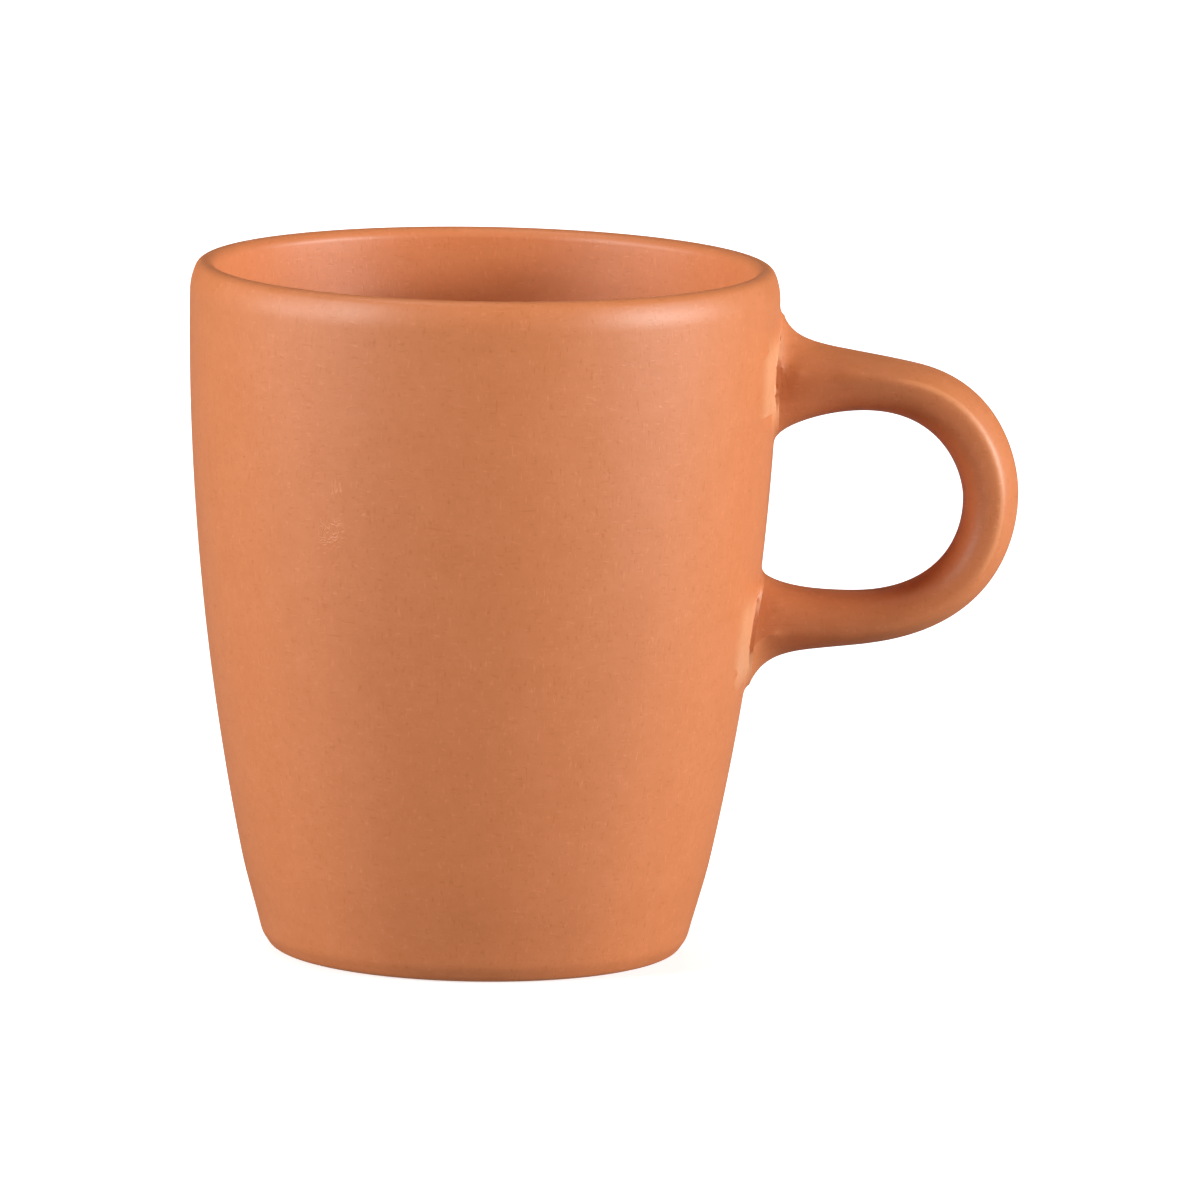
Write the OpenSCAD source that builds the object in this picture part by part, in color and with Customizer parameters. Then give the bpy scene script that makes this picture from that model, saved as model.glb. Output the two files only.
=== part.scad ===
// Espresso cup with a round-bellied wall and a strap handle that is stuck on with slip.
// Millimetres, +Z up. The origin is on the cup's axis in the foot plane, and the handle points along +X.

/* [Cup body] */
// Height from the foot plane to the top of the lip
cup_height = 64.6; // [56:0.1:80]
// Outside diameter at the widest point of the wall
belly_diameter = 55; // [50:0.5:70]
// How far the widest point lies below the top of the lip
belly_drop = 2.9; // [2:0.1:10]
// Outside diameter that the wall's curve reaches in the foot plane
foot_diameter = 39.8; // [34:0.1:46]
// Thickness of the rounded lip
lip_thickness = 2; // [1.4:0.1:3.6]
// How far the lip is set in from the widest point
lip_inset = 0.4; // [0.2:0.1:2]
// Thickness of the wall at the height of the inside floor
base_wall_thickness = 3.4; // [2.6:0.1:5]
// Height of the inside floor above the foot plane
floor_height = 5; // [4:0.1:8]
// Radius between the inside of the wall and the floor
floor_corner_radius = 9; // [5:0.5:13]

/* [Foot] */
// Radius of the rounded edge between the wall and the foot
foot_corner_radius = 2.5; // [1:0.1:4]
// Width of the flat ring that the cup stands on
foot_ring_width = 3; // [1.5:0.1:5]
// Depth of the hollow inside the foot ring
foot_recess_depth = 1.2; // [0.6:0.1:2]
// Width of the slope between the foot ring and the hollow
foot_recess_slope = 1.6; // [0.8:0.1:3]

/* [Handle] */
// Distance from the belly out to the end of the handle's bow
handle_reach = 22.6; // [18:0.1:32]
// Width of the strap across the ridges
handle_width = 8.3; // [6:0.1:12]
// Thickness of the strap at the end of the bow
bow_thickness = 5.2; // [4:0.1:8]
// Thickness of the upper arm
upper_arm_thickness = 4.4; // [3.5:0.1:8]
// Thickness of the lower arm
lower_arm_thickness = 4.9; // [3.5:0.1:8]
// How far the crowned outer face rises over the ridges
crown_height = 1.6; // [0.8:0.1:2.5]
// Depth of the end of the bow below the top of the lip
bow_drop = 20.9; // [18:0.1:25]
// How much lower the bow's inner face ends than its outer face
bow_lean = 0.6; // [0:0.1:1.5]
// Depth of the upper arm's outer face below the top of the lip
upper_arm_drop = 8.7; // [7:0.1:11]
// Depth of the lower arm's outer face below the top of the lip
lower_arm_drop = 35.2; // [33:0.1:39]

/* [Handle roots] */
// Height of the upper arm's outer fillet on the wall
upper_outer_fillet = 6.3; // [3:0.1:6.5]
// Height of the upper arm's inner fillet on the wall
upper_inner_fillet = 3.3; // [2:0.1:5]
// Height of the lower arm's inner fillet on the wall
lower_inner_fillet = 2.3; // [1.5:0.1:5]
// Height of the lower arm's outer fillet on the wall
lower_outer_fillet = 7.6; // [3:0.1:10]
// Radius of the fillet along both sides of a root
side_fillet = 1.2; // [0.6:0.1:2]
// How much higher the crown is where a root meets the wall
root_crown = 2.6; // [0:0.1:3]

/* [Slip joints] */
// Thickness of the slip between the wall and the handle
slip_thickness = 0.45; // [0.2:0.05:0.6]
// Gap on each side of the slip
slip_gap = 0.02; // [0.02:0.01:0.05]

/* [Hidden] */

// Clay colours: the satin terracotta glaze, and the slip that shows a little paler at the seams
glaze_colour = "#d88b5c";
slip_colour = "#e0a077";

// Smoothness of the turned profile, and the margin by which a cutting shape passes what it cuts
arc_facets = 720;
turn_facets = 180;
margin = 5;

// The wall is one arc, upright at the belly, that runs down to the foot diameter
belly_r = belly_diameter / 2;
belly_z = cup_height - belly_drop;
wall_draw_in = belly_r - foot_diameter / 2;
wall_arc_r = (belly_z ^ 2 + wall_draw_in ^ 2) / (2 * wall_draw_in);
wall_arc_centre = [belly_r - wall_arc_r, belly_z];

function unit(v) = v / norm(v);

// The lip is a round that is set in from the belly, and the shoulder is the arc, upright at the belly,
// that runs up into it
lip_r = lip_thickness / 2;
lip_centre = [belly_r - lip_inset - lip_r, cup_height - lip_r];
shoulder_r = ((lip_inset + lip_r) ^ 2 + (lip_centre.y - belly_z) ^ 2 - lip_r ^ 2) / (2 * lip_inset);
shoulder_centre = [belly_r - shoulder_r, belly_z];
lip_normal = unit(lip_centre - shoulder_centre);

// The outside of the wall at height z, and the way that it runs upwards there
function side_arc_r(z) = z < belly_z ? wall_arc_r : shoulder_r;
function side_arc_depth(z) = sqrt(side_arc_r(z) ^ 2 - (z - belly_z) ^ 2);
function wall_r(z) = belly_r - side_arc_r(z) + side_arc_depth(z);
function on_wall(z) = [wall_r(z), z];
function wall_way(z) = [(belly_z - z) / side_arc_depth(z), 1];

// A round of radius r that touches the inside of an arc, with its centre at height z
function round_in_arc(centre, arc_r, r, z) =
    [centre.x + sqrt((arc_r - r) ^ 2 - (z - centre.y) ^ 2), z];

// The inside wall is an arc, upright at the lip, that has the base wall thickness at the floor
inner_lip = lip_centre - [lip_r, 0];
inner_base = on_wall(floor_height) - [base_wall_thickness, 0];
inner_chord = inner_lip - inner_base;
inner_arc_r = (inner_chord * inner_chord) / (2 * inner_chord.x);
inner_arc_centre = inner_lip - [inner_arc_r, 0];
floor_round_z = floor_height + floor_corner_radius;
floor_round = round_in_arc(inner_arc_centre, inner_arc_r, floor_corner_radius, floor_round_z);

// The foot's rounded edge, and the ring inside it that the cup stands on
foot_round = round_in_arc(wall_arc_centre, wall_arc_r, foot_corner_radius, foot_corner_radius);
foot_ring_inner_r = foot_round.x - foot_ring_width;

// Heights of the handle's outline, and the end of its bow
bow_x = belly_r + handle_reach;
bow_z = cup_height - bow_drop;
bow_outer_end = [bow_x, bow_z];
bow_inner_end = [bow_x - bow_thickness, bow_z - bow_lean];
upper_outer_z = cup_height - upper_arm_drop;
upper_inner_z = upper_outer_z - upper_arm_thickness;
lower_outer_z = cup_height - lower_arm_drop;
lower_inner_z = lower_outer_z + lower_arm_thickness;

// Where along the reach each outline changes from a root curve to a bow curve, and its direction there:
// the upper arm's outer face falls towards the bow, the lower arm's rises towards it
upper_outer_place = 0.575;
upper_inner_place = 0.365;
lower_inner_place = 0.317;
lower_outer_place = 0.379;
upper_outer_way = [1, -0.22];
lower_outer_way = [1, 0.13];
level_way = [1, 0];
function on_arm(place, z) = [belly_r + place * handle_reach, z];
upper_outer_mid = on_arm(upper_outer_place, upper_outer_z);
upper_inner_mid = on_arm(upper_inner_place, upper_inner_z);
lower_inner_mid = on_arm(lower_inner_place, lower_inner_z);
lower_outer_mid = on_arm(lower_outer_place, lower_outer_z);

// How long each curve keeps the direction of its first and of its last point, as shares of its span
upper_outer_root_hold = [0.81, 0.68];
upper_inner_root_hold = [0.55, 0.41];
lower_inner_root_hold = [0.52, 0.74];
lower_outer_root_hold = [0.97, 0.6];
upper_outer_bow_hold = [0.83, 0.25];
upper_inner_bow_hold = [0.76, 0.33];
lower_inner_bow_hold = [0.7, 0.52];
lower_outer_bow_hold = [0.81, 0.37];

// A root curve that leaves the wall along it at height z and ends on an arm, and a bow curve that goes on
// from there to the end of the bow, upright at that end
function root_curve(z, mid, way, hold) =
    let (start = on_wall(z))
    [start,
     start + wall_way(z) * hold[0] * (mid.y - z),
     mid - way * hold[1] * (mid.x - start.x),
     mid];
function bow_curve(mid, way, end, hold) =
    [mid,
     mid + way * hold[0] * (end.x - mid.x),
     end + [0, hold[1] * (mid.y - end.y)],
     end];
function curve_point(c, t) =
    let (s = 1 - t)
    s ^ 3 * c[0] + 3 * s ^ 2 * t * c[1] + 3 * s * t ^ 2 * c[2] + t ^ 3 * c[3];

upper_outer_root =
    root_curve(upper_outer_z + upper_outer_fillet, upper_outer_mid, upper_outer_way, upper_outer_root_hold);
upper_inner_root =
    root_curve(upper_inner_z - upper_inner_fillet, upper_inner_mid, level_way, upper_inner_root_hold);
lower_inner_root =
    root_curve(lower_inner_z + lower_inner_fillet, lower_inner_mid, level_way, lower_inner_root_hold);
lower_outer_root =
    root_curve(lower_outer_z - lower_outer_fillet, lower_outer_mid, lower_outer_way, lower_outer_root_hold);
upper_outer_bow = bow_curve(upper_outer_mid, upper_outer_way, bow_outer_end, upper_outer_bow_hold);
upper_inner_bow = bow_curve(upper_inner_mid, level_way, bow_inner_end, upper_inner_bow_hold);
lower_inner_bow = bow_curve(lower_inner_mid, level_way, bow_inner_end, lower_inner_bow_hold);
lower_outer_bow = bow_curve(lower_outer_mid, lower_outer_way, bow_outer_end, lower_outer_bow_hold);

// How far a point of the outline stands off the wall, and where on a root curve a given standoff is reached
function standoff(p) = p.x - wall_r(p.y);
function reach_share(curve, gap, low = 0, high = 1, tries = 30) =
    tries == 0 ? (low + high) / 2 :
    let (middle = (low + high) / 2)
    standoff(curve_point(curve, middle)) < gap
        ? reach_share(curve, gap, middle, high, tries - 1)
        : reach_share(curve, gap, low, middle, tries - 1);

// A cross-section of the strap between an inner and an outer point of the outline: a crowned outer face,
// a ridge on each side, and sides that round into the inner face. Within the wrap length of the wall it bends
// onto the wall's curve and gets a higher crown, and at the wall it widens into the side fillets.
// The sides are an ellipse at a side power of 1, and squarer below that.
crown_steps = 8;
side_steps = 22;
side_power = 0.77;
wrap_length = 6;
function side_flare(gap) =
    gap >= side_fillet ? 0 : side_fillet - sqrt(side_fillet ^ 2 - (side_fillet - gap) ^ 2);
function wrap_share(gap) = max(0, min(1, 1 - (gap - slip_thickness) / wrap_length)) ^ 2;
function power_of(v) = sign(v) * abs(v) ^ side_power;

function crown_points(half_width, crown) =
    let (r = (half_width ^ 2 + crown ^ 2) / (2 * crown),
         widest = asin(half_width / r))
    [for (i = [0 : crown_steps - 1])
        let (a = widest * (1 - 2 * i / crown_steps))
        [r * sin(a), crown - r * (1 - cos(a))]];
function side_points(half_width, depth) =
    [for (i = [0 : side_steps - 1])
        let (a = 180 * i / side_steps)
        [-half_width * power_of(cos(a)), -depth * power_of(sin(a))]];

function section(inner, outer) =
    let (gap = (standoff(inner) + standoff(outer)) / 2,
         wrap = wrap_share(gap),
         half_width = handle_width / 2 + side_flare(gap),
         crown = crown_height + root_crown * wrap,
         thickness = norm(outer - inner),
         ridge = thickness - crown,
         outline = concat(crown_points(half_width, crown), side_points(half_width, ridge)))
    [for (p = outline)
        let (share = (ridge + p.y) / thickness,
             flat = inner + share * (outer - inner),
             hugged = wall_r(flat.y) + gap,
             x = flat.x + wrap * (hugged - flat.x),
             sunk = x - wrap * (x - sqrt(x ^ 2 - p.x ^ 2)))
        [sunk, p.x, flat.y]];

// The section where a pair of root curves stands off the wall by a given gap
function section_at(inner_root, outer_root, gap) =
    section(curve_point(inner_root, reach_share(inner_root, gap)),
            curve_point(outer_root, reach_share(outer_root, gap)));

// Sections of a root from the slip out to the arm, and of half the bow
root_steps = 16;
bow_steps = 14;
function root_sections(inner_root, outer_root) =
    let (inner_start = reach_share(inner_root, slip_thickness),
         outer_start = reach_share(outer_root, slip_thickness))
    [for (i = [0 : root_steps - 1])
        let (s = i / root_steps)
        section(curve_point(inner_root, inner_start + s * (1 - inner_start)),
                curve_point(outer_root, outer_start + s * (1 - outer_start)))];
function bow_sections(inner_bow, outer_bow) =
    [for (i = [0 : bow_steps - 1])
        section(curve_point(inner_bow, i / bow_steps), curve_point(outer_bow, i / bow_steps))];
function reversed(list) = [for (i = [len(list) - 1 : -1 : 0]) list[i]];

// Rings that shrink from a section's edge towards its middle, on the wall's own curve
cap_rings = 5;
function middle_z(edge) =
    let (heights = [for (p = edge) p.z])
    (min(heights) + max(heights)) / 2;
function cap_sections(edge, gap) =
    let (middle = middle_z(edge))
    [for (k = [1 : cap_rings - 1])
        [for (p = edge)
            let (share = 1 - k / cap_rings,
                 y = share * p.y,
                 z = middle + share * (p.z - middle))
            [sqrt((wall_r(z) + gap) ^ 2 - y ^ 2), y, z]]];
function cap_middle(edge, gap) =
    let (middle = middle_z(edge))
    [wall_r(middle) + gap, 0, middle];

// A closed skin over a row of sections, with a middle point at each end
module skin(sections, first_middle, last_middle) {
    count = len(sections[0]);
    last = len(sections) - 1;
    points = concat([for (s = sections) each s], [first_middle, last_middle]);
    first_point = count * len(sections);
    sides = [for (k = [0 : last - 1], i = [0 : count - 1])
        let (j = (i + 1) % count,
             a = k * count + i,
             b = k * count + j)
        each [[a, b, b + count], [a, b + count, a + count]]];
    first_fan = [for (i = [0 : count - 1]) [first_point, (i + 1) % count, i]];
    last_fan = [for (i = [0 : count - 1])
        [first_point + 1, last * count + i, last * count + (i + 1) % count]];
    polyhedron(points, concat(sides, first_fan, last_fan), convexity = 6);
}

// A slice of a round between straight down and the way that its normal points
module lower_round(centre, r, normal) {
    far = 2 * r;
    intersection() {
        translate(centre)
            circle(r, $fn = arc_facets);
        translate(centre)
            polygon([[0, 0], [0, -far], [far, -far], far * normal]);
    }
}

// What an arc encloses between the axis, a round at its foot and a straight edge at the top
module arc_field(arc_centre, arc_r, foot, foot_r, top) {
    normal = unit(foot - arc_centre);
    reach = belly_r + margin;
    intersection() {
        translate(arc_centre)
            circle(arc_r, $fn = arc_facets);
        polygon(concat([[0, foot.y], foot, foot + (reach - foot.x) * normal], top));
    }
    lower_round(foot, foot_r, normal);
    translate([0, foot.y - foot_r])
        square([foot.x, foot_r]);
}

// Outside of the cup, up to the lines on which the lip's round sits
module outside_profile() {
    reach = belly_r + margin;
    arc_field(wall_arc_centre, wall_arc_r, foot_round, foot_corner_radius,
              [[reach, belly_z], [0, belly_z]]);
    intersection() {
        translate(shoulder_centre)
            circle(shoulder_r, $fn = arc_facets);
        polygon([[0, belly_z],
                 [reach, belly_z],
                 lip_centre + margin * lip_normal,
                 lip_centre,
                 [0, lip_centre.y]]);
    }
}

// The hollow, open past the lip
module inside_profile() {
    top = cup_height + margin;
    arc_field(inner_arc_centre, inner_arc_r, floor_round, floor_corner_radius,
              [[belly_r + margin, top], [0, top]]);
}

// The hollow under the foot
module foot_recess_profile() {
    polygon([[0, -margin],
             [foot_ring_inner_r, -margin],
             [foot_ring_inner_r, 0],
             [foot_ring_inner_r - foot_recess_slope, foot_recess_depth],
             [0, foot_recess_depth]]);
}

// The slice of the lip's round between the shoulder and the inside wall
module lip_profile() {
    far = 2 * lip_r;
    intersection() {
        translate(lip_centre)
            circle(lip_r, $fn = arc_facets);
        translate(lip_centre)
            polygon([[0, 0], far * lip_normal, [far, far], [-far, far], [-far, 0]]);
    }
}

// Turned body: wall, rounded lip, floor and foot ring in one piece of clay
module cup_body() {
    color(glaze_colour)
        rotate_extrude($fn = turn_facets) {
            difference() {
                outside_profile();
                inside_profile();
                foot_recess_profile();
            }
            lip_profile();
        }
}

// Strap handle: its two ends follow the wall, one slip thickness away
module handle() {
    upper_end = section_at(upper_inner_root, upper_outer_root, slip_thickness);
    lower_end = section_at(lower_inner_root, lower_outer_root, slip_thickness);
    sections = concat(
        reversed(cap_sections(upper_end, slip_thickness)),
        root_sections(upper_inner_root, upper_outer_root),
        bow_sections(upper_inner_bow, upper_outer_bow),
        [section(bow_inner_end, bow_outer_end)],
        reversed(bow_sections(lower_inner_bow, lower_outer_bow)),
        reversed(root_sections(lower_inner_root, lower_outer_root)),
        cap_sections(lower_end, slip_thickness));
    color(glaze_colour)
        skin(sections, cap_middle(upper_end, slip_thickness), cap_middle(lower_end, slip_thickness));
}

// Slip that was squeezed out between the wall and one end of the handle
slip_steps = 4;
module slip_joint(inner_root, outer_root) {
    near = slip_gap;
    far = slip_thickness - slip_gap;
    edges = [for (i = [0 : slip_steps])
        section_at(inner_root, outer_root, near + (far - near) * i / slip_steps)];
    sections = concat(
        reversed(cap_sections(edges[0], near)),
        edges,
        cap_sections(edges[slip_steps], far));
    color(slip_colour)
        skin(sections, cap_middle(edges[0], near), cap_middle(edges[slip_steps], far));
}

module upper_slip_joint() {
    slip_joint(upper_inner_root, upper_outer_root);
}

module lower_slip_joint() {
    slip_joint(lower_inner_root, lower_outer_root);
}

cup_body();
handle();
upper_slip_joint();
lower_slip_joint();
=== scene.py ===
# Espresso cup of satin-glazed terracotta: the turned cup, its strap handle and the slip that joins them
import math

import bmesh
import bpy
from mathutils import Matrix, Vector, noise


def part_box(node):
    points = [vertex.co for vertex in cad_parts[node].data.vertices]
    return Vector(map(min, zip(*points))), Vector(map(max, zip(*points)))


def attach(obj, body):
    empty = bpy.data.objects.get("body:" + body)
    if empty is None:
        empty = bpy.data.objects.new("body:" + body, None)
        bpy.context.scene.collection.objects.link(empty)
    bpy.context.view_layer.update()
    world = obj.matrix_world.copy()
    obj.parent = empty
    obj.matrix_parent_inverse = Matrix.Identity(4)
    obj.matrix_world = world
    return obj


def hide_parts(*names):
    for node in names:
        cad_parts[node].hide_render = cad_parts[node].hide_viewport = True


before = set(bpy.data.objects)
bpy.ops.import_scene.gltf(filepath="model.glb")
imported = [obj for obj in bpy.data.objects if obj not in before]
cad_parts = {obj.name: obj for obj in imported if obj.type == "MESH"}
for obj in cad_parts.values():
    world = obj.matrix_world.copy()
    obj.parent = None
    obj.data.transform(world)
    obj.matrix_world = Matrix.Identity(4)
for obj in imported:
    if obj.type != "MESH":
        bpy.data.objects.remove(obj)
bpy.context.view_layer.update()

MM = 0.001

# What the frame gives: the cup's axis is Z, it stands on its foot at Z = 0, and the handle points along +X
belly_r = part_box("cup_body")[1].x
cup_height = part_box("cup_body")[1].z
bow_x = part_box("handle")[1].x

# Sizes of the turned cup
belly_drop = 2.9 * MM
foot_r = 19.9 * MM
lip_thickness = 2 * MM
lip_inset = 0.4 * MM
base_wall_thickness = 3.4 * MM
floor_height = 5 * MM
floor_corner_r = 9 * MM
foot_corner_r = 2.5 * MM
foot_ring_width = 3 * MM
foot_recess_depth = 1.2 * MM
foot_recess_slope = 1.6 * MM
foot_edge_round = 0.4 * MM

# The wall is drawn in a little above the foot: by how much, the heights between which that is full, and the
# height at which it ends
foot_draw_in = 0.3 * MM
foot_draw_full = (1 * MM, 1.6 * MM)
foot_draw_end = 9 * MM

# Steps of the arcs of the cup's profile, and the points on its two flat stretches, as shares of their radius
foot_steps = 12
wall_steps = 56
shoulder_steps = 8
lip_steps = 18
inside_steps = 48
floor_corner_steps = 16
recess_middle_share = 0.45
floor_middle_share = 0.5

# Sizes of the strap handle
handle_width = 8.3 * MM
bow_thickness = 5.2 * MM
bow_lean = 0.6 * MM
upper_arm_thickness = 4.4 * MM
lower_arm_thickness = 4.9 * MM
crown_height = 1.6 * MM
bow_drop = 20.9 * MM
upper_arm_drop = 8.7 * MM
lower_arm_drop = 35.2 * MM
upper_outer_fillet = 6.3 * MM
upper_inner_fillet = 3.3 * MM
lower_inner_fillet = 2.3 * MM
lower_outer_fillet = 7.6 * MM
root_flare = 0.2 * MM
root_flare_length = 1.2 * MM
root_crown = 2.6 * MM
wrap_length = 6 * MM
slip_thickness = 0.45 * MM

# Powers that round the strap's crown, at the bow and at the roots, and its sides
crown_power = 2
root_crown_power = 1.5
side_power = 0.77

# Points closer than this are one point, and edges sharper than this stay sharp
merge_distance = 0.002 * MM
sharp_angle = math.radians(40)


# The cup's profile, in the half plane of radius and height

def round_in_arc(centre, arc_r, r, z):
    """Centre, at height z, of a round of radius r that touches the inside of an arc."""
    return Vector((centre.x + math.sqrt((arc_r - r) ** 2 - (z - centre.y) ** 2), z))


belly_z = cup_height - belly_drop
wall_draw_in = belly_r - foot_r
wall_arc_r = (belly_z ** 2 + wall_draw_in ** 2) / (2 * wall_draw_in)
wall_arc = Vector((belly_r - wall_arc_r, belly_z))
foot_round = round_in_arc(wall_arc, wall_arc_r, foot_corner_r, foot_corner_r)
lip_r = lip_thickness / 2
lip_round = Vector((belly_r - lip_inset - lip_r, cup_height - lip_r))
shoulder_r = ((lip_inset + lip_r) ** 2 + (lip_round.y - belly_z) ** 2 - lip_r ** 2) / (2 * lip_inset)
shoulder = Vector((belly_r - shoulder_r, belly_z))


def side_arc_r(z):
    return wall_arc_r if z < belly_z else shoulder_r


def wall_radius(z):
    return belly_r - side_arc_r(z) + math.sqrt(side_arc_r(z) ** 2 - (z - belly_z) ** 2)


inner_lip = lip_round - Vector((lip_r, 0))
inner_base = Vector((wall_radius(floor_height) - base_wall_thickness, floor_height))
inner_chord = inner_lip - inner_base
inner_arc_r = inner_chord.length_squared / (2 * inner_chord.x)
inner_arc = inner_lip - Vector((inner_arc_r, 0))
floor_round = round_in_arc(inner_arc, inner_arc_r, floor_corner_r, floor_height + floor_corner_r)
foot_ring_inner_r = foot_round.x - foot_ring_width


def heading(vector):
    return math.atan2(vector.y, vector.x)


def arc(centre, r, start, end, steps):
    """Points on an arc from one heading to another."""
    turns = [start + (end - start) * i / steps for i in range(steps + 1)]
    return [centre + r * Vector((math.cos(a), math.sin(a))) for a in turns]


def share_within(value, middle, half, fade):
    """1 near the middle, 0 beyond half a width from it, with a smooth fade between."""
    t = max(0, min(1, (half - abs(value - middle)) / fade))
    return t * t * (3 - 2 * t)


def drawn_in(point):
    """The wall is drawn in a little above the foot, before it turns under."""
    low = share_within(point.y, foot_draw_end, foot_draw_end, foot_draw_full[0])
    high = share_within(point.y, 0, foot_draw_end, foot_draw_end - foot_draw_full[1])
    return point - Vector((foot_draw_in * low * high, 0))


def cup_profile():
    """From the middle of the underside round the foot, up the wall, over the lip and down to the floor."""
    down = -math.pi / 2
    foot_heading = heading(foot_round - wall_arc)
    lip_heading = heading(lip_round - shoulder)
    floor_heading = heading(floor_round - inner_arc)
    underside = [
        Vector((0, foot_recess_depth)),
        Vector((foot_ring_inner_r * recess_middle_share, foot_recess_depth)),
        Vector((foot_ring_inner_r - foot_recess_slope, foot_recess_depth)),
        Vector((foot_ring_inner_r, 0)),
    ]
    outside = (
        arc(foot_round, foot_corner_r, down, foot_heading, foot_steps)
        + arc(wall_arc, wall_arc_r, foot_heading, 0, wall_steps)[1:]
    )
    return (
        underside
        + [drawn_in(point) for point in outside]
        + arc(shoulder, shoulder_r, 0, lip_heading, shoulder_steps)[1:]
        + arc(lip_round, lip_r, lip_heading, math.pi, lip_steps)[1:]
        + arc(inner_arc, inner_arc_r, 0, floor_heading, inside_steps)[1:]
        + arc(floor_round, floor_corner_r, floor_heading, down, floor_corner_steps)[1:]
        + [Vector((floor_round.x * floor_middle_share, floor_height)), Vector((0, floor_height))]
    )


# Modelling steps that every piece shares

def start_piece(name, corners, r):
    """A new piece that starts as a ring of corners, in edit mode and all selected."""
    bpy.ops.object.select_all(action="DESELECT")
    bpy.ops.mesh.primitive_circle_add(vertices=corners, radius=r)
    piece = bpy.context.object
    piece.name = piece.data.name = name
    bpy.ops.object.mode_set(mode="EDIT")
    bpy.ops.mesh.select_all(action="SELECT")
    return piece


def place_selected(piece, points):
    """Moves the selected corners, in their order, to these points."""
    mesh = bmesh.from_edit_mesh(piece.data)
    for corner, point in zip((v for v in mesh.verts if v.select), points, strict=True):
        corner.co = point
    bmesh.update_edit_mesh(piece.data)


def select_where(piece, kind, test):
    """Selects only the points, edges or faces that pass a test."""
    bpy.ops.mesh.select_all(action="DESELECT")
    bpy.ops.mesh.select_mode(type={"verts": "VERT", "edges": "EDGE", "faces": "FACE"}[kind])
    mesh = bmesh.from_edit_mesh(piece.data)
    for part in getattr(mesh, kind):
        part.select_set(test(part))
    mesh.select_flush_mode()
    bmesh.update_edit_mesh(piece.data)


def draw_out(piece, rings):
    """Places the selected ring on the first of these rings, and draws it out from ring to ring."""
    place_selected(piece, rings[0])
    for points in rings[1:]:
        bpy.ops.mesh.extrude_region_move()
        place_selected(piece, points)


def fill_ends(piece, corners, count):
    """Closes the first and the last of the drawn rings with fans of faces, and returns their corners."""
    ends = (range(corners), range(corners * (count - 1), corners * count))
    for end in ends:
        select_where(piece, "verts", lambda v: v.index in end)
        bpy.ops.mesh.edge_face_add()
        bpy.ops.mesh.poke()
    return ends


def close_piece():
    """Merges what meets and turns all faces outwards."""
    bpy.ops.mesh.select_mode(type="VERT")
    bpy.ops.mesh.select_all(action="SELECT")
    bpy.ops.mesh.remove_doubles(threshold=merge_distance)
    bpy.ops.mesh.normals_make_consistent(inside=False)
    bpy.ops.object.mode_set(mode="OBJECT")
    bpy.ops.object.shade_smooth_by_angle(angle=sharp_angle)


def smooth_piece(piece):
    """One level of subdivision, applied."""
    smooth = piece.modifiers.new("smooth", "SUBSURF")
    smooth.levels = smooth.render_levels = 1
    bpy.ops.object.modifier_apply(modifier=smooth.name)


# The turned cup

turn_steps = 192


def turned_cup():
    """The profile, drawn point by point and spun round the axis, with the foot ring's edges rounded."""
    profile = [Vector((p.x, 0, p.y)) for p in cup_profile()]
    piece = start_piece("turned_cup", 3, 1 * MM)
    bpy.ops.mesh.merge(type="CENTER")
    bpy.ops.transform.translate(value=profile[0])
    for here, there in zip(profile, profile[1:]):
        bpy.ops.mesh.extrude_vertices_move(TRANSFORM_OT_translate={"value": there - here})
    bpy.ops.mesh.select_all(action="SELECT")
    bpy.ops.mesh.spin(steps=turn_steps, angle=2 * math.pi, center=(0, 0, 0), axis=(0, 0, 1))
    bpy.ops.mesh.remove_doubles(threshold=merge_distance)
    recess_corner = Vector((foot_ring_inner_r - foot_recess_slope, foot_recess_depth))
    foot_edges = (Vector((foot_ring_inner_r, 0)), recess_corner)

    def on_foot_edge(edge):
        places = [Vector((v.co.xy.length, v.co.z)) for v in edge.verts]
        return any(all((place - at).length < 2 * merge_distance for place in places) for at in foot_edges)

    select_where(piece, "edges", on_foot_edge)
    bpy.ops.mesh.bevel(offset=foot_edge_round, segments=4, profile=0.5, affect="EDGES")
    close_piece()
    return piece


# The handle's outline, in the plane of the cup's axis and the handle: each edge is a root curve that leaves
# the wall along it, and a bow curve that goes on from there to the end of the bow

handle_reach = bow_x - belly_r
bow_z = cup_height - bow_drop
bow_outer_end = Vector((bow_x, bow_z))
bow_inner_end = Vector((bow_x - bow_thickness, bow_z - bow_lean))
upper_outer_z = cup_height - upper_arm_drop
upper_inner_z = upper_outer_z - upper_arm_thickness
lower_outer_z = cup_height - lower_arm_drop
lower_inner_z = lower_outer_z + lower_arm_thickness


def root_curve(z, middle, way, hold):
    start = Vector((wall_radius(z), z))
    wall_way = Vector(((belly_z - z) / math.sqrt(side_arc_r(z) ** 2 - (z - belly_z) ** 2), 1))
    return (
        start,
        start + wall_way * hold[0] * (middle.y - z),
        middle - Vector(way) * hold[1] * (middle.x - start.x),
        middle,
    )


def bow_curve(middle, way, end, hold):
    return (
        middle,
        middle + Vector(way) * hold[0] * (end.x - middle.x),
        end + Vector((0, hold[1] * (middle.y - end.y))),
        end,
    )


def edge_curves(z, fillet, end, share, way, root_hold, bow_hold):
    """The root curve and the bow curve of one edge of the outline. They meet at a share of the reach, both
    going one way there. Each holds its way at its start and at its end, for shares of its own span."""
    middle = Vector((belly_r + share * handle_reach, z))
    return root_curve(z + fillet, middle, way, root_hold), bow_curve(middle, way, end, bow_hold)


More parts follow.
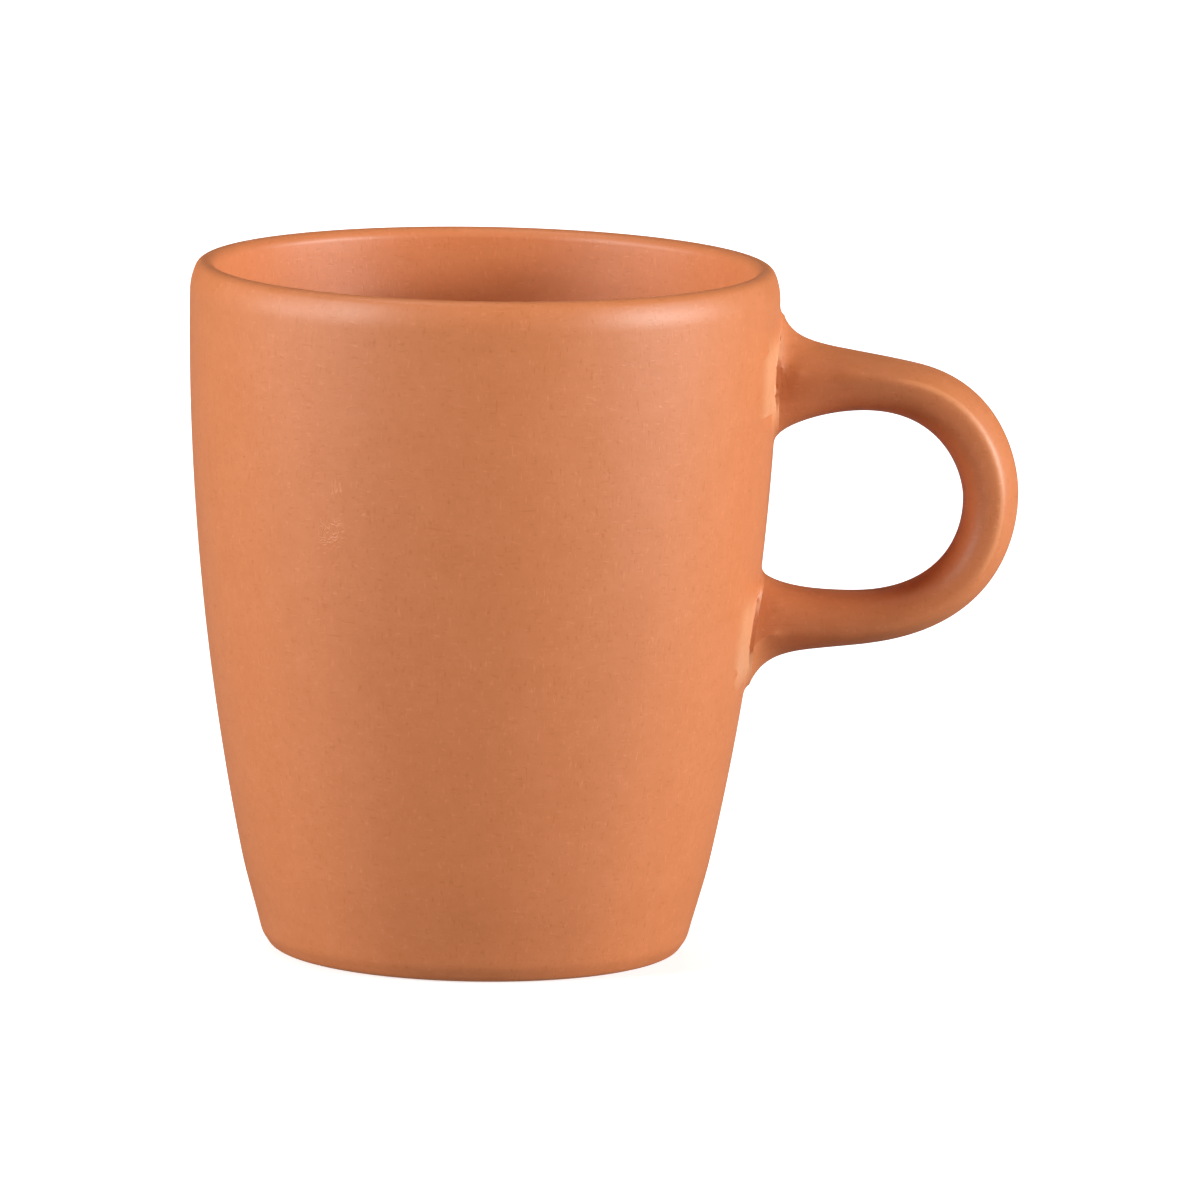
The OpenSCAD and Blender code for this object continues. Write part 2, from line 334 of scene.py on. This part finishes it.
upper_outer = edge_curves(
    upper_outer_z, upper_outer_fillet, bow_outer_end,
    share=0.575, way=(1, -0.22), root_hold=(0.81, 0.68), bow_hold=(0.83, 0.25))
upper_inner = edge_curves(
    upper_inner_z, -upper_inner_fillet, bow_inner_end,
    share=0.365, way=(1, 0), root_hold=(0.55, 0.41), bow_hold=(0.76, 0.33))
lower_inner = edge_curves(
    lower_inner_z, lower_inner_fillet, bow_inner_end,
    share=0.317, way=(1, 0), root_hold=(0.52, 0.74), bow_hold=(0.7, 0.52))
lower_outer = edge_curves(
    lower_outer_z, -lower_outer_fillet, bow_outer_end,
    share=0.379, way=(1, 0.13), root_hold=(0.97, 0.6), bow_hold=(0.81, 0.37))


def curve_point(curve, t):
    s = 1 - t
    return s ** 3 * curve[0] + 3 * s ** 2 * t * curve[1] + 3 * s * t ** 2 * curve[2] + t ** 3 * curve[3]


def standoff(point):
    return point.x - wall_radius(point.y)


# How often the search for a point on a curve halves its span
search_halvings = 40


def share_at_standoff(curve, gap):
    """Where on a root curve it stands off the wall by a gap."""
    low, high = 0.0, 1.0
    for _ in range(search_halvings):
        middle = (low + high) / 2
        if standoff(curve_point(curve, middle)) < gap:
            low = middle
        else:
            high = middle
    return middle


# The strap's cross-section

def power_of(value):
    return math.copysign(abs(value) ** side_power, value)


def section(inner, outer, crown_steps, side_steps):
    """Points round the strap between an inner and an outer point of the outline: the crowned outer face from
    ridge to ridge, then the sides and the inner face. Near the wall it bends onto the wall and widens."""
    gap = (standoff(inner) + standoff(outer)) / 2
    wrap = max(0, min(1, 1 - (gap - slip_thickness) / wrap_length)) ** 2
    half_width = handle_width / 2 + root_flare * max(0, 1 - gap / root_flare_length) ** 2
    crown = crown_height + root_crown * wrap
    thickness = (outer - inner).length
    ridge = thickness - crown
    shares = [1 - 2 * i / crown_steps for i in range(crown_steps)]
    power = crown_power + wrap * (root_crown_power - crown_power)
    outline = [(half_width * t, crown * (1 - abs(t) ** power)) for t in shares]
    turns = [math.pi * i / side_steps for i in range(side_steps)]
    outline += [(-half_width * power_of(math.cos(a)), -ridge * power_of(math.sin(a))) for a in turns]
    points = []
    for across, rise in outline:
        flat = inner + (ridge + rise) / thickness * (outer - inner)
        hugged = flat.x + wrap * (wall_radius(flat.y) + gap - flat.x)
        x = hugged - wrap * (hugged - math.sqrt(hugged ** 2 - across ** 2))
        points.append(Vector((x, across, flat.y)))
    return points


# The strap handle

strap_crown_steps = 10
strap_side_steps = 26
root_steps = 20
bow_steps = 22
ridge_round = 0.5 * MM

# The ridges are sharp this near to the wall. Further out they are rubbed down: out to each X, the points
# this near a ridge, so many times.
sharp_ridge_length = 2.2 * MM
rubbed_ridges = ((36 * MM, 0.7 * MM, 4), (32.5 * MM, 1.2 * MM, 10))

# How the glaze lies, and where shade is painted, is stored at each point: 1 where the glaze has run thin off
# the ridges, and -1 for painted shade in the corner between the upper root's sides and the wall. A span is a
# middle,
# a half width and a fade: a reach along X, a rise along Z, and the sides across the strap.
glaze_and_shade_name = "glaze_and_painted_shade"
thin_reach = (60 * MM, 28 * MM, 9 * MM)
thin_rise = (60 * MM, 27 * MM, 5 * MM)
side_span = (6 * MM, 2.3 * MM, 0.4 * MM)
corner_shade_rise = (62 * MM, 17 * MM, 4 * MM)
corner_shade_length = 5 * MM


def store_glaze_and_shade(piece, glaze_and_shade_at):
    """Stores how the glaze lies, and where shade is painted, at each point of a piece."""
    mesh = bmesh.from_edit_mesh(piece.data)
    coat_and_shade = mesh.verts.layers.float.new(glaze_and_shade_name)
    for vert in mesh.verts:
        vert[coat_and_shade] = glaze_and_shade_at(vert)
    bmesh.update_edit_mesh(piece.data)


def strap_section(inner, outer):
    return section(inner, outer, strap_crown_steps, strap_side_steps)


def root_sections(inner, outer):
    """Sections of a root from the slip out to where the bow starts."""
    inner_start = share_at_standoff(inner, slip_thickness)
    outer_start = share_at_standoff(outer, slip_thickness)
    return [
        strap_section(curve_point(inner, inner_start + s * (1 - inner_start)),
                      curve_point(outer, outer_start + s * (1 - outer_start)))
        for s in (i / root_steps for i in range(root_steps))
    ]


def bow_sections(inner, outer):
    return [
        strap_section(curve_point(inner, t), curve_point(outer, t))
        for t in (i / bow_steps for i in range(bow_steps))
    ]


def handle_sections():
    return (
        root_sections(upper_inner[0], upper_outer[0])
        + bow_sections(upper_inner[1], upper_outer[1])
        + [strap_section(bow_inner_end, bow_outer_end)]
        + bow_sections(lower_inner[1], lower_outer[1])[::-1]
        + root_sections(lower_inner[0], lower_outer[0])[::-1]
    )


def strap_handle():
    """A ring drawn out section by section from the upper root to the lower one, with rounded ridges."""
    sections = handle_sections()
    ring = len(sections[0])
    last = ring * len(sections)
    piece = start_piece("strap_handle", ring, handle_width / 2)
    draw_out(piece, sections)
    ends = fill_ends(piece, ring, len(sections))
    ridges = (0, strap_crown_steps)

    def on_ridge(edge):
        return all(v.index < last and v.index % ring in ridges for v in edge.verts)

    def off_wall(vert):
        return vert.co.xy.length - wall_radius(vert.co.z)

    def clear_of_wall(vert):
        return off_wall(vert) > sharp_ridge_length

    # Painted shade on the sides of the upper root next to the wall, and thin glaze on the ridges
    def glaze_and_shade_at(vert):
        on_side = share_within(abs(vert.co.y), *side_span) * share_within(vert.co.z, *corner_shade_rise)
        coat_and_shade = -on_side * share_within(off_wall(vert), 0, corner_shade_length, corner_shade_length)
        if vert.index < last and vert.index % ring in ridges:
            coat_and_shade += share_within(vert.co.x, *thin_reach) * share_within(vert.co.z, *thin_rise)
        return coat_and_shade

    store_glaze_and_shade(piece, glaze_and_shade_at)
    select_where(piece, "edges", lambda e: (
        any(all(v.index in end for v in e.verts) for end in ends)
        or on_ridge(e) and not all(clear_of_wall(v) for v in e.verts)))
    bpy.ops.transform.edge_crease(value=1)
    select_where(piece, "edges", lambda e: on_ridge(e) and all(clear_of_wall(v) for v in e.verts))
    bpy.ops.mesh.bevel(offset=ridge_round, offset_type="OFFSET", segments=3, profile=0.5, affect="EDGES")
    for far_x, near, times in rubbed_ridges:
        line = [points[i] for points in sections for i in ridges if points[i].x < far_x]
        select_where(piece, "verts", lambda v: (
            clear_of_wall(v) and any((v.co - point).length < near for point in line)))
        bpy.ops.mesh.vertices_smooth(factor=0.5, repeat=times)
    close_piece()
    smooth_piece(piece)
    return piece


# The slip: a pad between the wall and one end of the handle, squeezed out into a bead round the handle's
# end. A bead is a row of rings, each with its distance out from the handle's end and its distance off the
# wall, in mm. The last of them climb steeply to the handle.

slip_crown_steps = 96
slip_side_steps = 224
crisp_bead = (
    (7.4, -0.02), (6.0, 0.01), (4.6, 0.03), (3.4, 0.045), (2.2, 0.055), (1.3, 0.06), (0.8, 0.062),
    (0.5, 0.06), (0.3, 0.058), (0.2, 0.056), (0.085, 0.055),
    (0.065, 0.15), (0.043, 0.25), (0.0, 0.445), (-0.15, 0.44),
)
faded_bead = (
    (1.6, -0.03), (1.25, -0.005), (0.94, 0.005), (0.8, 0.02), (0.72, 0.03), (0.65, 0.04), (0.594, 0.05),
    (0.52, 0.075), (0.457, 0.1), (0.36, 0.145), (0.274, 0.2),
    (0.2, 0.25), (0.12, 0.32), (0.0, 0.445), (-0.15, 0.44),
)
steep_rings = 4
pad_shares = (0.66, 0.33)
joint_gap = 0.02 * MM

# Crumbs in the bead: each ring's share of them, their size and height, and the roughness between them
crumb_weight = (0, 0, 0, 0, 0.1, 0.3, 0.6, 1, 1, 1, 0.8, 0.6, 0.3, 0, 0)
crumb_size = 0.5 * MM
crumb_height = 0.24 * MM
crumb_ring_step = 0.2 * MM
crumb_gap_seed = Vector((7, 3, 5))
even_roughness = 0.1

# Heights at which the two beads are crisp, each a span, and those of their crumbs, each with a half width
upper_crisp = (55.7 * MM, 3.8 * MM, 1.2 * MM)
upper_crumbs = ((58.3 * MM, 1.3 * MM), (53.4 * MM, 1.5 * MM))
lower_crisp = (31 * MM, 4 * MM, 1.4 * MM)
lower_crumbs = ((34.1 * MM, 0.9 * MM),)


def on_wall(y, z, gap):
    return Vector((math.sqrt((wall_radius(z) + gap) ** 2 - y ** 2), y, z))


def slip_joint(name, inner_root, outer_root, crisp, crumbs):
    """A pad drawn out from the wall over its bead to the handle. The bead is crisp at the handle's sides and
    runs out smooth elsewhere."""
    ends = [curve_point(root, share_at_standoff(root, slip_thickness)) for root in (inner_root, outer_root)]
    edge = [Vector((p.y, p.z)) for p in section(*ends, slip_crown_steps, slip_side_steps)]
    count = len(edge)
    ways = []
    for i in range(count):
        along = edge[(i + 1) % count] - edge[i - 1]
        ways.append(Vector((along.y, -along.x)).normalized())
    middle = Vector((0, (min(p.y for p in edge) + max(p.y for p in edge)) / 2))
    if (edge[0] - middle).dot(ways[0]) < 0:
        ways = [-way for way in ways]

    def bead_ring(k):
        points = []
        for place, way in zip(edge, ways):
            share = share_within(place.y, *crisp) * way.x ** 2
            out = MM * (share * crisp_bead[k][0] + (1 - share) * faded_bead[k][0])
            gap = MM * (share * crisp_bead[k][1] + (1 - share) * faded_bead[k][1])
            crumbly = max(share_within(place.y, z, half, half) for z, half in crumbs)
            rough = crumb_height * crumb_weight[k] * share * max(even_roughness, crumbly)
            seed = Vector((place.x, place.y, k * crumb_ring_step)) / crumb_size
            out += rough * noise.noise(seed)
            gap += rough * noise.noise(seed + crumb_gap_seed)
            spot = place + out * way
            points.append(on_wall(spot.x, spot.y, gap))
        return points

    def pad_ring(share, gap):
        spots = [middle + share * (place - middle) for place in edge]
        return [on_wall(spot.x, spot.y, gap) for spot in spots]

    rings = [pad_ring(share, joint_gap) for share in pad_shares[::-1]]
    rings += [bead_ring(k) for k in range(len(crisp_bead))]
    rings += [pad_ring(share, slip_thickness - joint_gap / 2) for share in pad_shares]
    piece = start_piece(name, count, handle_width / 2)
    draw_out(piece, rings)
    fill_ends(piece, count, len(rings))
    first_steep = count * (len(pad_shares) + len(crisp_bead) - steep_rings)
    # The slip's steep rings at the handle's sides are darkened with painted shade
    store_glaze_and_shade(piece, lambda v: -share_within(abs(v.co.y), *side_span) if v.index >= first_steep else 0)
    close_piece()
    return piece


# Colours and materials

glaze_colour = "#d88352"
thin_glaze_colour = "#ee9f68"
# A painted shade colour for the corner by the handle's upper root and the slip's steep side
corner_shade_colour = "#c56f3d"
# Pale slip beside the handle, partly a painted highlight
pale_slip_and_highlight_colour = "#e39d70"
bare_clay_colour = "#c4845f"
table_colour = "#d0d0d0"
table_bounce_colour = "#8a8a8a"

# The glaze's roughness on the clay and on the slip, and the faint clouds in it: their size, and how far they
# move its tone and its roughness
glaze_roughness = 0.46
slip_roughness = 0.48
cloud_size = 4 * MM
cloud_tone = 0.015
cloud_roughness = 0.02

# Where the tone is paler the colour is greyer, by this share
tone_greying = 0.25

# Thin glaze shows from this much of the stored coat up
thin_from = 0.55

# The spans of values that noise with fine detail and noise without it mostly fill
detailed_noise = (0.3, 0.7)
plain_noise = (0.17, 0.83)

# Patterns of the skin: stretch, size in mm, power that keeps the strongest marks, height in mm, and tone
skin_patterns = (
    ((1, 1, 1), 1.0, 1, 0.0025, 0.015),
    ((1, 1, 0.3), 0.26, 5, 0.006, 0.07),
    ((0.3, 0.3, 1), 0.26, 5, 0.006, 0.057),
    ((1, 1, 1), 0.36, 5, 0.006, 0.06),
    ((0.04, 0.04, 1), 0.5, 1, 0.001, 0.004),
)

# Marks that the photo shows in the glaze, in mm: centre, half sizes, height, tone and wrinkles' stretch.
# A mark is full out to its core, a share of its half sizes, and then fades.
glaze_marks = (
    ((-13.2, -23.2, 46.5), (0.8, 1.6, 1.6), 0.02, 0.2, (1, 1, 0.35)),
    ((-13.6, -22.6, 42.5), (2.1, 2.2, 2.1), 0.02, 0.2, (1, 1, 1)),
    ((-13.4, -22.2, 32.9), (1.1, 1.4, 0.12), 0.008, -0.07, None),
)
mark_core = 0.4
wrinkle_size = 0.9 * MM
wrinkle_folds = 12
wrinkle_power = 3

# Where the slip is paler beside the handle, partly pale slip and partly a painted highlight: the heights of
# its two patches, their half sizes and their fade
smear_and_highlight_heights = (54.5 * MM, 30.2 * MM)
smear_and_highlight_half_height = 5.2 * MM
smear_and_highlight_half_width = 10 * MM
smear_and_highlight_fade = 3 * MM

# Bare clay under the foot: its grit, its roughness, and the heights between which the glaze begins
grit_size = 0.35 * MM
grit_height = 0.03 * MM
grit_tone = 0.1
bare_roughness = 0.9
glaze_line = (0.2 * MM, 0.35 * MM)

# How the table glows to the camera, from near the cup's axis to further out: its strengths and distances
table_glow = (0.68, 1)
table_glow_reach = (18 * MM, 50 * MM)


def linear(hex_colour):
    """A linear colour with full alpha from an sRGB hex colour."""
    channels = [int(hex_colour[i:i + 2], 16) / 255 for i in (1, 3, 5)]
    return [c / 12.92 if c <= 0.04045 else ((c + 0.055) / 1.055) ** 2.4 for c in channels] + [1]


def add(tree, kind, inputs=(), **settings):
    """Adds a node with its settings, and feeds its inputs from values or from other nodes' sockets."""
    made = tree.nodes.new(kind)
    for name, value in settings.items():
        setattr(made, name, value)
    for name, value in dict(inputs).items():
        if isinstance(value, bpy.types.NodeSocket):
            tree.links.new(value, made.inputs[name])
        else:
            made.inputs[name].default_value = value
    return made


def from_to(low, high, new_low=0, new_high=1):
    """What a Map Range node is fed to turn one span of values into another."""
    return {"From Min": low, "From Max": high, "To Min": new_low, "To Max": new_high}


def new_material(name):
    material = bpy.data.materials.new(name)
    material.use_nodes = True
    material.node_tree.nodes.clear()
    return material, material.node_tree


def skin_layers(tree, place):
    """The patterns of the skin, each with its height and its tone."""
    layers = []
    for stretch, size, power, height, shade in skin_patterns:
        spread = add(tree, "ShaderNodeVectorMath", {0: place, 1: stretch}, operation="MULTIPLY").outputs[0]
        grain = add(tree, "ShaderNodeTexNoise", {
            "Vector": spread, "Scale": 1 / (size * MM), "Detail": 0}).outputs[0]
        swing = add(tree, "ShaderNodeMapRange", {"Value": grain, **from_to(*plain_noise, -1, 1)}).outputs[0]
        pattern = add(tree, "ShaderNodeMath", {0: swing, 1: power}, operation="POWER").outputs[0]
        layers.append((pattern, height, shade))
    return layers


def mark_layers(tree, place, marks):
    """The marks in the glaze, wrinkled where they have a stretch, each with its height and its tone."""
    layers = []
    for centre, half, height, shade, stretch in marks:
        offset = add(tree, "ShaderNodeVectorMath", {
            0: place, 1: [c * MM for c in centre]}, operation="SUBTRACT").outputs[0]
        shares = add(tree, "ShaderNodeVectorMath", {
            0: offset, 1: [h * MM for h in half]}, operation="DIVIDE").outputs[0]
        away = add(tree, "ShaderNodeVectorMath", {0: shares}, operation="LENGTH").outputs["Value"]
        mark = add(tree, "ShaderNodeMapRange", {
            "Value": away, **from_to(1, mark_core)}, interpolation_type="SMOOTHSTEP").outputs[0]
        if stretch:
            spread = add(tree, "ShaderNodeVectorMath", {
                0: place, 1: stretch}, operation="MULTIPLY").outputs[0]
            fold = add(tree, "ShaderNodeTexNoise", {
                "Vector": spread, "Scale": 1 / wrinkle_size, "Detail": 1}).outputs[0]
            folds = add(tree, "ShaderNodeMath", {0: fold, 1: wrinkle_folds}, operation="MULTIPLY").outputs[0]
            wave = add(tree, "ShaderNodeMath", {0: folds, 1: 1}, operation="PINGPONG").outputs[0]
            wrinkle = add(tree, "ShaderNodeMath", {0: wave, 1: wrinkle_power}, operation="POWER").outputs[0]
            mark = add(tree, "ShaderNodeMath", {0: mark, 1: wrinkle}, operation="MULTIPLY").outputs[0]
        layers.append((mark, height, shade))
    return layers


def smear_and_highlight_share(tree, place):
    """1 where the slip is paler beside the handle, partly pale slip and partly a painted highlight, fading
    out over the wall and to the joint's ends.
    """
    spot = add(tree, "ShaderNodeSeparateXYZ", {0: place}).outputs
    aside = add(tree, "ShaderNodeMath", {0: spot["Y"]}, operation="ABSOLUTE").outputs[0]
    beyond = []
    for z in smear_and_highlight_heights:
        above = add(tree, "ShaderNodeMath", {0: spot["Z"], 1: z}, operation="SUBTRACT").outputs[0]
        beyond.append(add(tree, "ShaderNodeMath", {0: above}, operation="ABSOLUTE").outputs[0])
    nearest = add(tree, "ShaderNodeMath", {0: beyond[0], 1: beyond[1]}, operation="MINIMUM").outputs[0]
    shares = [
        add(tree, "ShaderNodeMapRange", {
            "Value": value, **from_to(half, half - smear_and_highlight_fade)}, interpolation_type="SMOOTHSTEP").outputs[0]
        for value, half in ((aside, smear_and_highlight_half_width), (nearest, smear_and_highlight_half_height))
    ]
    return add(tree, "ShaderNodeMath", {0: shares[0], 1: shares[1]}, operation="MULTIPLY").outputs[0]


def colour_with_painted_light(tree, place, smeared_and_highlit):
    """The glaze's even colour, with the pale slip below it where that is smeared, which is partly a painted
    highlight, paler where the glaze is thin, and darker with painted shade in the corner by the handle's
    upper root and on the slip's steep side. A Mix node's colours are its inputs 6 and 7 and its output 2."""
    colour = linear(glaze_colour)
    if smeared_and_highlit:
        share = smear_and_highlight_share(tree, place)
        colour = add(tree, "ShaderNodeMix", {
            "Factor": share, 6: colour, 7: linear(pale_slip_and_highlight_colour)}, data_type="RGBA").outputs[2]
    coat_and_shade = add(tree, "ShaderNodeAttribute", attribute_name=glaze_and_shade_name).outputs["Fac"]
    # Paler where the glaze runs thin on the ridges, then darker with painted shade by the upper root and the
    # slip's steep side
    for none, full, thin_and_shade_colour in ((thin_from, 1, thin_glaze_colour), (0, -1, corner_shade_colour)):
        share = add(tree, "ShaderNodeMapRange", {"Value": coat_and_shade, **from_to(none, full)}).outputs[0]
        colour = add(tree, "ShaderNodeMix", {
            "Factor": share, 6: colour, 7: linear(thin_and_shade_colour)}, data_type="RGBA").outputs[2]
    return colour


def bare_clay(tree, place):
    """Bare fired terracotta: greyer than the glaze and quite matt, with a fine grain."""
    grit = add(tree, "ShaderNodeTexNoise", {
        "Vector": place, "Scale": 1 / grit_size, "Detail": 3}).outputs[0]
    tone = add(tree, "ShaderNodeMapRange", {
        "Value": grit, **from_to(*detailed_noise, 1 - grit_tone, 1 + grit_tone)}).outputs[0]
    clay = add(tree, "ShaderNodeHueSaturation", {
        "Color": linear(bare_clay_colour), "Value": tone}).outputs[0]
    skin = add(tree, "ShaderNodeBump", {"Height": grit, "Distance": grit_height}).outputs[0]
    return add(tree, "ShaderNodeBsdfPrincipled", {
        "Base Color": clay, "Roughness": bare_roughness, "Normal": skin}).outputs[0]


def terracotta_glaze(name, roughness, marks=(), smeared_and_highlit=False):
    """Terracotta stoneware under a thin satin glaze: a warm orange body with a soft, broad sheen. Its tone
    is nearly even, with faint clouds, and the skin has tiny specks, dashes and turning lines from the clay
    below. The ring that the cup stands on is bare clay."""
    material, tree = new_material(name)
    place = add(tree, "ShaderNodeTexCoord").outputs["Object"]
    cloud = add(tree, "ShaderNodeTexNoise", {
        "Vector": place, "Scale": 1 / cloud_size, "Detail": 4}).outputs[0]
    tone = add(tree, "ShaderNodeMapRange", {
        "Value": cloud, **from_to(*detailed_noise, 1 - cloud_tone, 1 + cloud_tone)}).outputs[0]
    sheen = add(tree, "ShaderNodeMapRange", {
        "Value": cloud,
        **from_to(*detailed_noise, roughness - cloud_roughness, roughness + cloud_roughness)}).outputs[0]
    relief = 0
    for layer, height, shade in skin_layers(tree, place) + mark_layers(tree, place, marks):
        relief = add(tree, "ShaderNodeMath", {
            0: layer, 1: height * MM, 2: relief}, operation="MULTIPLY_ADD").outputs[0]
        tone = add(tree, "ShaderNodeMath", {
            0: layer, 1: shade, 2: tone}, operation="MULTIPLY_ADD").outputs[0]
    depth = add(tree, "ShaderNodeMath", {
        0: tone, 1: -tone_greying, 2: 1 + tone_greying}, operation="MULTIPLY_ADD").outputs[0]
    body = add(tree, "ShaderNodeHueSaturation", {
        "Color": colour_with_painted_light(tree, place, smeared_and_highlit), "Saturation": depth, "Value": tone}).outputs[0]
    skin = add(tree, "ShaderNodeBump", {"Height": relief, "Distance": 1}).outputs[0]
    glazed = add(tree, "ShaderNodeBsdfPrincipled", {
        "Base Color": body, "Roughness": sheen, "Normal": skin}).outputs[0]
    above_table = add(tree, "ShaderNodeSeparateXYZ", {0: place}).outputs["Z"]
    share = add(tree, "ShaderNodeMapRange", {"Value": above_table, **from_to(*glaze_line)}).outputs[0]
    surface = add(tree, "ShaderNodeMixShader", {0: share, 1: bare_clay(tree, place), 2: glazed}).outputs[0]
    add(tree, "ShaderNodeOutputMaterial", {"Surface": surface})
    return material


def white_table():
    """A matt white studio table. To the camera it is white but for the cup's soft shadow, it gives little
    light back to the cup, and from below it can be seen through."""
    material, tree = new_material("white_table")
    rays = add(tree, "ShaderNodeLightPath")
    place = add(tree, "ShaderNodeTexCoord").outputs["Object"]
    far = add(tree, "ShaderNodeVectorMath", {0: place}, operation="LENGTH").outputs["Value"]
    glow = add(tree, "ShaderNodeMapRange", {
        "Value": far, **from_to(*table_glow_reach, *table_glow)}, interpolation_type="SMOOTHSTEP").outputs[0]
    bright = add(tree, "ShaderNodeEmission", {"Strength": glow}).outputs[0]
    lit = add(tree, "ShaderNodeBsdfDiffuse", {"Color": linear(table_colour)}).outputs[0]
    seen = add(tree, "ShaderNodeAddShader", {0: bright, 1: lit}).outputs[0]
    dim = add(tree, "ShaderNodeBsdfDiffuse", {"Color": linear(table_bounce_colour)}).outputs[0]
    top = add(tree, "ShaderNodeMixShader", {0: rays.outputs["Is Camera Ray"], 1: dim, 2: seen}).outputs[0]
    below = add(tree, "ShaderNodeNewGeometry").outputs["Backfacing"]
    clear = add(tree, "ShaderNodeBsdfTransparent").outputs[0]
    surface = add(tree, "ShaderNodeMixShader", {0: below, 1: top, 2: clear}).outputs[0]
    add(tree, "ShaderNodeOutputMaterial", {"Surface": surface})
    return material


# The pieces, the nodes that they stand for and their finishes

glaze = terracotta_glaze("satin_terracotta_glaze", glaze_roughness, marks=glaze_marks)
# The slip's glaze is paler beside the handle: partly pale slip, partly a painted highlight
slip_glaze = terracotta_glaze("glazed_slip", slip_roughness, smeared_and_highlit=True)
cup = turned_cup()
handle = strap_handle()
upper_slip = slip_joint("upper_slip", upper_inner[0], upper_outer[0], upper_crisp, upper_crumbs)
lower_slip = slip_joint("lower_slip", lower_inner[0], lower_outer[0], lower_crisp, lower_crumbs)
for piece, node, finish, slot in (
        (cup, "cup_body", glaze, "terracotta_glaze"),
        (handle, "handle", glaze, "terracotta_glaze"),
        (upper_slip, "upper_slip_joint", slip_glaze, "joint_slip"),
        (lower_slip, "lower_slip_joint", slip_glaze, "joint_slip")):
    piece.data.materials.append(finish)
    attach(piece, "root")
    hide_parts(node)

# Floor, camera and light

# The floor lies a hair below the foot ring, so that their faces don't meet. It casts no shadow, so that the
# fill below it can light the underside.
floor_gap = 0.02 * MM
floor_size = 12
bpy.ops.object.select_all(action="DESELECT")
bpy.ops.mesh.primitive_plane_add(size=floor_size, location=(0, 0, -floor_gap))
floor = bpy.context.object
floor.name = "floor"
floor.data.materials.append(white_table())
floor.visible_shadow = False

# The camera, fitted to the cup's outline in the photo
view_elevation = math.radians(9.05)
view_distance = 1.3
view_roll = math.radians(1.037)
image_width = 1200
pixels_per_metre = 10702
sensor_width = 36
look_at = Vector((0, 0, 32.5 * MM))
aim_right = 11.199 * MM
aim_up = 0.551 * MM

away = Vector((0, math.cos(view_elevation), -math.sin(view_elevation)))
upwards = Vector((0, math.sin(view_elevation), math.cos(view_elevation)))
eye = look_at - view_distance * away
aim = look_at + aim_right * Vector((1, 0, 0)) + aim_up * upwards
camera = bpy.data.objects.new("camera", bpy.data.cameras.new("camera"))
bpy.context.scene.collection.objects.link(camera)
turn = (aim - eye).to_track_quat("-Z", "Y").to_matrix().to_4x4() @ Matrix.Rotation(view_roll, 4, "Z")
camera.matrix_world = Matrix.Translation(eye) @ turn
camera.data.sensor_width = sensor_width
camera.data.lens = pixels_per_metre * view_distance / image_width * sensor_width
camera.data.clip_start = 0.1
camera.data.clip_end = 50
bpy.context.scene.camera = camera


def softbox(name, azimuth, elevation, distance, size, power):
    """A soft rectangular light that faces the cup. Azimuth 0 is the camera's side, and +90 the handle's."""
    a, e = math.radians(azimuth), math.radians(elevation)
    place = Vector((math.sin(a) * math.cos(e), -math.cos(a) * math.cos(e), math.sin(e))) * distance
    light = bpy.data.lights.new(name, "AREA")
    light.shape = "RECTANGLE"
    light.size, light.size_y = size
    light.energy = power
    lamp = bpy.data.objects.new(name, light)
    bpy.context.scene.collection.objects.link(lamp)
    centre = Vector((0, 0, cup_height / 2))
    facing = (-place).to_track_quat("-Z", "Y").to_matrix().to_4x4()
    lamp.matrix_world = Matrix.Translation(centre + place) @ facing
    lamp.visible_camera = False
    return lamp


softbox("left_softbox", -56.5, 20, 1, (0.2, 0.5), 7)
softbox("left_side_softbox", -83, 11, 1, (0.25, 0.25), 3.2)
softbox("right_softbox", 65.3, 14, 1, (0.24, 0.17), 7.6)
softbox("right_side_softbox", 84.5, 10, 1, (0.25, 0.2), 4.1)
softbox("top_softbox", -90, 72, 1, (0.3, 0.3), 1.6)
# Fills for what the photo doesn't show, the back and the underside, with no gleam of their own
softbox("back_fill", 180, 18, 1, (0.4, 0.3), 3.5).visible_glossy = False
softbox("foot_fill", 0, -90, 62 * MM, (26 * MM, 26 * MM), 0.008).visible_glossy = False

# The room is white to the camera and gives the cup very little light
room_light = 0.02
world = bpy.data.worlds.new("studio")
world.use_nodes = True
bpy.context.scene.world = world
room = world.node_tree
room.nodes.clear()
rays = add(room, "ShaderNodeLightPath").outputs["Is Camera Ray"]
brightness = add(room, "ShaderNodeMapRange", {"Value": rays, **from_to(0, 1, room_light, 1)}).outputs[0]
backdrop = add(room, "ShaderNodeBackground", {"Color": (1, 1, 1, 1), "Strength": brightness}).outputs[0]
add(room, "ShaderNodeOutputWorld", {"Surface": backdrop})
bpy.context.scene.view_settings.view_transform = "Standard"
